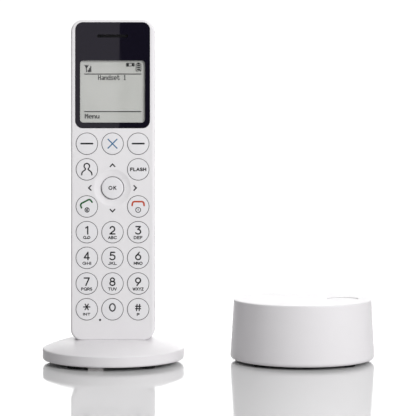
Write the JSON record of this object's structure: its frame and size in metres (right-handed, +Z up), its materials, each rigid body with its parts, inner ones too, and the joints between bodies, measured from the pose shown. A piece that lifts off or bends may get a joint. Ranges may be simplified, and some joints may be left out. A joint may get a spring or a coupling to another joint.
{
  "type": "cordless phone with charging cradle and base station",
  "caption": "Slim upright cordless handset with round keys and a black display lens, standing in a round domed charging cradle beside a round puck-shaped base station.",
  "frame": {"origin": "on the desk, under the middle of the whole set's box (cradle and base station together)", "axes": "+Z up, -Y towards the user (the handset's keys), +X to the user's right, from the cradle to the base station"},
  "size_m": [0.1764, 0.0808, 0.1811],
  "materials": {
    "white_plastic": "fine satin moulded plastic, white",
    "plate_plastic": "satin moulded plastic, off-white",
    "key_plastic": "satin plastic key caps with printed dark legends",
    "lens_black": "polished black lens, clear over the display",
    "lcd_glass": "grey reflective liquid crystal display",
    "backlight_plastic": "white light guide",
    "circuit_board": "green solder mask",
    "silicone": "moulded silicone",
    "dome_metal": "thin pressed metal",
    "black_plastic": "moulded black plastic",
    "steel": "plated steel",
    "contact_gold": "gold-plated contacts",
    "cell_can": null,
    "black_rubber": "black rubber feet",
    "pale_rubber": "pale anti-slip pad"
  },
  "bodies": {
    "cradle": {"cradle_shell": "white_plastic", "cradle_base_plate": "plate_plastic", "cradle_ballast": "steel", "cradle_pcb": "circuit_board", "cradle_dc_inlet": "black_plastic", "cradle_feet": "black_rubber", "cradle_front_pad": "pale_rubber", "cradle_screws": "steel"},
    "handset": {"handset_front_shell": "white_plastic", "handset_back_shell": "white_plastic", "display_lens": "lens_black", "lcd_panel": "lcd_glass", "lcd_backlight": "backlight_plastic", "handset_pcb": "circuit_board", "key_mat": "silicone", "dome_sheet": "dome_metal", "nav_switch": "black_plastic", "earpiece": "steel", "earpiece_mesh": "steel", "loudspeaker": "black_plastic", "microphone": "black_rubber", "rf_shield": "dome_metal", "charge_contacts": "contact_gold", "battery_contacts": "steel", "battery_cells": "cell_can", "handset_screws": "steel"},
    "battery_cover": {"battery_cover": "white_plastic"},
    "key_1": {"key_1": "key_plastic"},
    "key_2": {"key_2": "key_plastic"},
    "key_3": {"key_3": "key_plastic"},
    "key_4": {"key_4": "key_plastic"},
    "key_5": {"key_5": "key_plastic"},
    "key_6": {"key_6": "key_plastic"},
    "key_7": {"key_7": "key_plastic"},
    "key_8": {"key_8": "key_plastic"},
    "key_9": {"key_9": "key_plastic"},
    "key_star": {"key_star": "key_plastic"},
    "key_0": {"key_0": "key_plastic"},
    "key_hash": {"key_hash": "key_plastic"},
    "key_talk": {"key_talk": "key_plastic"},
    "key_end": {"key_end": "key_plastic"},
    "key_phonebook": {"key_phonebook": "key_plastic"},
    "key_flash": {"key_flash": "key_plastic"},
    "key_soft_left": {"key_soft_left": "key_plastic"},
    "key_clear": {"key_clear": "key_plastic"},
    "key_soft_right": {"key_soft_right": "key_plastic"},
    "nav_yoke": {"nav_yoke": "steel"},
    "nav_stem": {"nav_stem": "steel"},
    "key_ok": {"key_ok": "key_plastic"},
    "cradle_contact_left": {"cradle_contact_left": "contact_gold"},
    "cradle_contact_right": {"cradle_contact_right": "contact_gold"},
    "base_station": {"base_shell": "white_plastic", "base_bottom_plate": "plate_plastic", "base_pcb": "circuit_board", "base_dc_inlet": "black_plastic", "base_line_socket": "black_plastic", "base_page_switch": "black_plastic", "base_feet": "black_rubber", "base_screws": "steel"},
    "base_page_button": {"base_page_button": "white_plastic"}
  },
  "joints": [
    {"name": "handset_lift", "type": "slide", "parent": "cradle", "child": "handset", "axis": [0, 0.061, 0.9981], "range_m": [0, 0.08]},
    {"name": "battery_cover_slide", "type": "slide", "parent": "handset", "child": "battery_cover", "axis": [0, -0.061, -0.9981], "range_m": [0, 0.0065]},
    {"name": "key_1_press", "type": "slide", "parent": "handset", "child": "key_1", "axis": [0, 0.9981, -0.061], "range_m": [0, 0.0005], "stiffness_N_per_m": 2400},
    {"name": "key_2_press", "type": "slide", "parent": "handset", "child": "key_2", "axis": [0, 0.9981, -0.061], "range_m": [0, 0.0005], "stiffness_N_per_m": 2400},
    {"name": "key_3_press", "type": "slide", "parent": "handset", "child": "key_3", "axis": [0, 0.9981, -0.061], "range_m": [0, 0.0005], "stiffness_N_per_m": 2400},
    {"name": "key_4_press", "type": "slide", "parent": "handset", "child": "key_4", "axis": [0, 0.9981, -0.061], "range_m": [0, 0.0005], "stiffness_N_per_m": 2400},
    {"name": "key_5_press", "type": "slide", "parent": "handset", "child": "key_5", "axis": [0, 0.9981, -0.061], "range_m": [0, 0.0005], "stiffness_N_per_m": 2400},
    {"name": "key_6_press", "type": "slide", "parent": "handset", "child": "key_6", "axis": [0, 0.9981, -0.061], "range_m": [0, 0.0005], "stiffness_N_per_m": 2400},
    {"name": "key_7_press", "type": "slide", "parent": "handset", "child": "key_7", "axis": [0, 0.9981, -0.061], "range_m": [0, 0.0005], "stiffness_N_per_m": 2400},
    {"name": "key_8_press", "type": "slide", "parent": "handset", "child": "key_8", "axis": [0, 0.9981, -0.061], "range_m": [0, 0.0005], "stiffness_N_per_m": 2400},
    {"name": "key_9_press", "type": "slide", "parent": "handset", "child": "key_9", "axis": [0, 0.9981, -0.061], "range_m": [0, 0.0005], "stiffness_N_per_m": 2400},
    {"name": "key_star_press", "type": "slide", "parent": "handset", "child": "key_star", "axis": [0, 0.9981, -0.061], "range_m": [0, 0.0005], "stiffness_N_per_m": 2400},
    {"name": "key_0_press", "type": "slide", "parent": "handset", "child": "key_0", "axis": [0, 0.9981, -0.061], "range_m": [0, 0.0005], "stiffness_N_per_m": 2400},
    {"name": "key_hash_press", "type": "slide", "parent": "handset", "child": "key_hash", "axis": [0, 0.9981, -0.061], "range_m": [0, 0.0005], "stiffness_N_per_m": 2400},
    {"name": "key_talk_press", "type": "slide", "parent": "handset", "child": "key_talk", "axis": [0, 0.9981, -0.061], "range_m": [0, 0.0005], "stiffness_N_per_m": 2400},
    {"name": "key_end_press", "type": "slide", "parent": "handset", "child": "key_end", "axis": [0, 0.9981, -0.061], "range_m": [0, 0.0005], "stiffness_N_per_m": 2400},
    {"name": "key_phonebook_press", "type": "slide", "parent": "handset", "child": "key_phonebook", "axis": [0, 0.9981, -0.061], "range_m": [0, 0.0005], "stiffness_N_per_m": 2400},
    {"name": "key_flash_press", "type": "slide", "parent": "handset", "child": "key_flash", "axis": [0, 0.9981, -0.061], "range_m": [0, 0.0005], "stiffness_N_per_m": 2400},
    {"name": "key_soft_left_press", "type": "slide", "parent": "handset", "child": "key_soft_left", "axis": [0, 0.9981, -0.061], "range_m": [0, 0.0005], "stiffness_N_per_m": 2400},
    {"name": "key_clear_press", "type": "slide", "parent": "handset", "child": "key_clear", "axis": [0, 0.9981, -0.061], "range_m": [0, 0.0005], "stiffness_N_per_m": 2400},
    {"name": "key_soft_right_press", "type": "slide", "parent": "handset", "child": "key_soft_right", "axis": [0, 0.9981, -0.061], "range_m": [0, 0.0005], "stiffness_N_per_m": 2400},
    {"name": "nav_up_down", "type": "hinge", "parent": "handset", "child": "nav_yoke", "pos_m": [-0.05075, -0.00418, 0.09241], "axis": [1, 0, 0], "range_deg": [-2, 2], "stiffness_Nm_per_rad": 0.15},
    {"name": "nav_left_right", "type": "hinge", "parent": "nav_yoke", "child": "nav_stem", "pos_m": [-0.05075, -0.00418, 0.09241], "axis": [0, 0.061, 0.9981], "range_deg": [-2, 2], "stiffness_Nm_per_rad": 0.15},
    {"name": "key_ok_press", "type": "slide", "parent": "nav_stem", "child": "key_ok", "axis": [0, 0.9981, -0.061], "range_m": [0, 0.00035], "stiffness_N_per_m": 3000},
    {"name": "contact_left_press", "type": "slide", "parent": "cradle", "child": "cradle_contact_left", "axis": [0, -0.061, -0.9981], "range_m": [0, 0.0007], "stiffness_N_per_m": 900},
    {"name": "contact_right_press", "type": "slide", "parent": "cradle", "child": "cradle_contact_right", "axis": [0, -0.061, -0.9981], "range_m": [0, 0.0007], "stiffness_N_per_m": 900},
    {"name": "base_station_move", "type": "slide", "parent": "cradle", "child": "base_station", "axis": [1, 0, 0], "range_m": [0, 0.1]},
    {"name": "page_press", "type": "slide", "parent": "base_station", "child": "base_page_button", "axis": [0, 0, -1], "range_m": [0, 0.0006], "stiffness_N_per_m": 1500}
  ]
}
